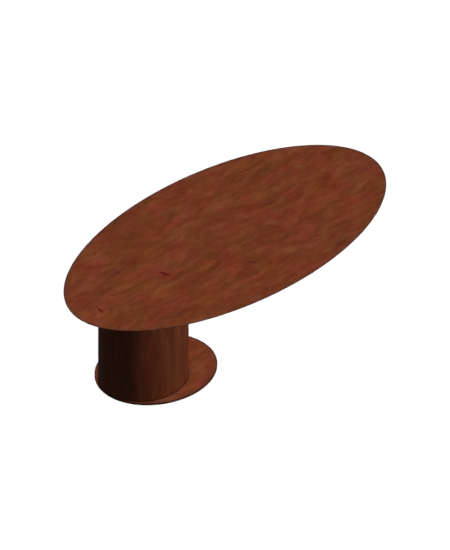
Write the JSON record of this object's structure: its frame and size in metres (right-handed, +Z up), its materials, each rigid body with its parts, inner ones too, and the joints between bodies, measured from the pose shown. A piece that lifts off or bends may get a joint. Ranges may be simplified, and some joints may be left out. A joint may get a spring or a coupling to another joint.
{
  "type": "dining table",
  "caption": "Large elliptical wooden dining table with a knife-edge top, carried off centre by one elliptical drum pedestal on a thin elliptical base plate.",
  "frame": {"origin": "on the floor under the middle of the top", "axes": "+X along the top's long axis to its free end (the drum stands at -X), +Y across, +Z up"},
  "size_m": [2.7, 1.4, 0.753],
  "materials": {
    "top_wood": "satin",
    "lipping_wood": "satin",
    "underside_board": "matte",
    "drum_wood": "satin",
    "base_wood": "satin",
    "plywood": "matte",
    "batten_timber": "matte",
    "black_steel": "matte",
    "plate_paint": "satin",
    "ballast_steel": "matte",
    "zinc_steel": "satin",
    "insert_brass": "satin",
    "pad_nylon": "matte"
  },
  "bodies": {
    "table": {"top_face": "top_wood", "lipping_1": "lipping_wood", "lipping_2": "lipping_wood", "lipping_3": "lipping_wood", "lipping_4": "lipping_wood", "lipping_5": "lipping_wood", "lipping_6": "lipping_wood", "lipping_7": "lipping_wood", "lipping_8": "lipping_wood", "top_core": "underside_board", "drum_shell": "drum_wood", "base_skin": "base_wood", "drum_top_former": "plywood", "drum_mid_former": "plywood", "drum_bottom_former": "plywood", "batten_1": "batten_timber", "batten_2": "batten_timber", "batten_3": "batten_timber", "batten_4": "batten_timber", "beam_left": "black_steel", "beam_right": "black_steel", "head_plate": "black_steel", "head_flange": "black_steel", "post_tube": "black_steel", "gusset_1": "black_steel", "gusset_2": "black_steel", "gusset_3": "black_steel", "gusset_4": "black_steel", "foot_flange": "black_steel", "base_plate": "plate_paint", "ballast_plate_1": "ballast_steel", "ballast_plate_2": "ballast_steel", "ballast_plate_3": "ballast_steel", "ballast_plate_4": "ballast_steel", "ballast_plate_5": "ballast_steel", "beam_bolts": "zinc_steel", "head_bolts": "zinc_steel", "head_washers": "zinc_steel", "head_flange_bolts": "zinc_steel", "foot_bolts": "zinc_steel", "drum_screws": "zinc_steel", "ballast_bolts": "zinc_steel", "ballast_nuts": "zinc_steel", "beam_inserts": "insert_brass", "head_inserts": "insert_brass"},
    "leveller_1": {"leveller_1_stud": "zinc_steel", "leveller_1_pad": "pad_nylon"},
    "leveller_2": {"leveller_2_stud": "zinc_steel", "leveller_2_pad": "pad_nylon"},
    "leveller_3": {"leveller_3_stud": "zinc_steel", "leveller_3_pad": "pad_nylon"},
    "leveller_4": {"leveller_4_stud": "zinc_steel", "leveller_4_pad": "pad_nylon"},
    "leveller_5": {"leveller_5_stud": "zinc_steel", "leveller_5_pad": "pad_nylon"},
    "leveller_6": {"leveller_6_stud": "zinc_steel", "leveller_6_pad": "pad_nylon"}
  },
  "joints": [
    {"name": "leveller_1_screw", "type": "slide", "parent": "table", "child": "leveller_1", "axis": [0, 0, -1], "range_m": [0, 0.004]},
    {"name": "leveller_2_screw", "type": "slide", "parent": "table", "child": "leveller_2", "axis": [0, 0, -1], "range_m": [0, 0.004]},
    {"name": "leveller_3_screw", "type": "slide", "parent": "table", "child": "leveller_3", "axis": [0, 0, -1], "range_m": [0, 0.004]},
    {"name": "leveller_4_screw", "type": "slide", "parent": "table", "child": "leveller_4", "axis": [0, 0, -1], "range_m": [0, 0.004]},
    {"name": "leveller_5_screw", "type": "slide", "parent": "table", "child": "leveller_5", "axis": [0, 0, -1], "range_m": [0, 0.004]},
    {"name": "leveller_6_screw", "type": "slide", "parent": "table", "child": "leveller_6", "axis": [0, 0, -1], "range_m": [0, 0.004]}
  ]
}
